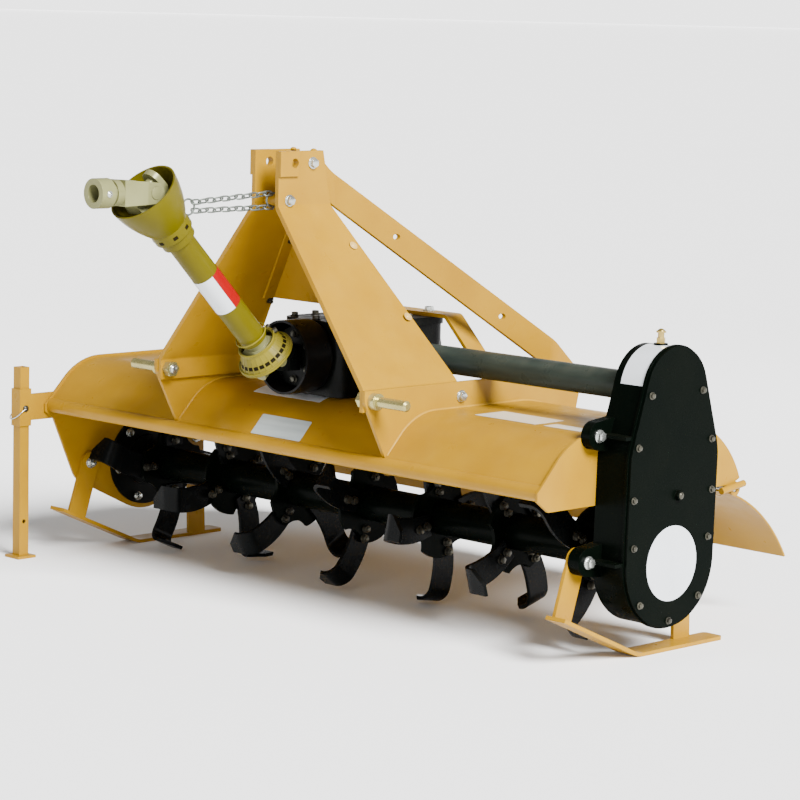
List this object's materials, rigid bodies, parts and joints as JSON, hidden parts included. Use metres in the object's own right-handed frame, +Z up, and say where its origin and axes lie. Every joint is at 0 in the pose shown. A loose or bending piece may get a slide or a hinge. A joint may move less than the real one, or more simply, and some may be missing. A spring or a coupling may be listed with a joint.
{
  "type": "tractor-mounted rotary tiller",
  "caption": "Three-point-hitch rotary tiller with a bladed rotor under a curved deck, side chain case, A-frame mast, guarded driveline, hinged tailgate, skids and a parking stand.",
  "frame": {"origin": "the middle of the overall box, on the floor", "axes": "+Z up; +X along the rotor towards the chain case; the tractor stands on the -Y side"},
  "size_m": [1.6638, 1.2854, 0.964],
  "materials": {
    "yellow_paint": "semi-gloss tan-yellow enamel",
    "black_casting": "gloss black enamel on castings",
    "black_guard": "black moulded shield",
    "slate_tube": "dark slate enamel",
    "black_steel": "black enamel on spring steel",
    "zinc": "bright zinc plating",
    "guard_plastic": "olive-yellow moulded guard",
    "joint_steel": "khaki-grey forged joint parts"
  },
  "bodies": {
    "frame": {"deck_shell": "yellow_paint", "end_plate_left": "yellow_paint", "end_plate_right": "yellow_paint", "bearing_flange": "black_casting", "side_plate_left": "yellow_paint", "side_plate_right": "yellow_paint", "mast_leg_left": "yellow_paint", "mast_leg_right": "yellow_paint", "mast_cross": "yellow_paint", "spacer_sleeve": "yellow_paint", "brace_left": "yellow_paint", "brace_right": "yellow_paint", "hitch_pin_left": "zinc", "hitch_pin_right": "zinc", "gearbox_housing": "black_casting", "gearbox_rear_cover": "black_casting", "gearbox_strap": "yellow_paint", "input_cup": "black_guard", "side_tube": "slate_tube", "case_body": "black_casting", "case_cover": "black_casting", "case_breather": "zinc", "skid_left": "yellow_paint", "skid_right": "yellow_paint", "stand_sleeve": "yellow_paint", "stand_pin": "zinc", "guard_bell": "guard_plastic", "guard_tube": "guard_plastic", "guard_cone": "guard_plastic", "shaft_core": "joint_steel", "outer_cross": "joint_steel", "inner_cross": "joint_steel", "inner_yoke": "joint_steel", "holding_chain": "zinc"},
    "rotor": {"rotor_tube": "black_steel", "tines_left": "black_steel", "tines_right": "black_steel"},
    "tailgate": {"gate_panel": "yellow_paint", "gate_rod": "yellow_paint"},
    "stand": {"stand_leg": "yellow_paint", "stand_foot": "yellow_paint"},
    "pto_yoke": {"tractor_yoke": "joint_steel"}
  },
  "joints": [
    {"name": "rotor_spin", "type": "hinge", "parent": "frame", "child": "rotor", "pos_m": [-0.02755, 0.12548, 0.198], "axis": [1, 0, 0], "continuous": true},
    {"name": "tailgate_swing", "type": "hinge", "parent": "frame", "child": "tailgate", "pos_m": [-0.02755, 0.43148, 0.3], "axis": [1, 0, 0], "range_deg": [0, 50]},
    {"name": "stand_leg_slide", "type": "slide", "parent": "frame", "child": "stand", "axis": [0, 0, 1], "range_m": [0, 0.2]},
    {"name": "yoke_swing", "type": "hinge", "parent": "frame", "child": "pto_yoke", "pos_m": [-0.02755, -0.51768, 0.88735], "axis": [-1, 0, 0], "range_deg": [-12, 40]}
  ]
}
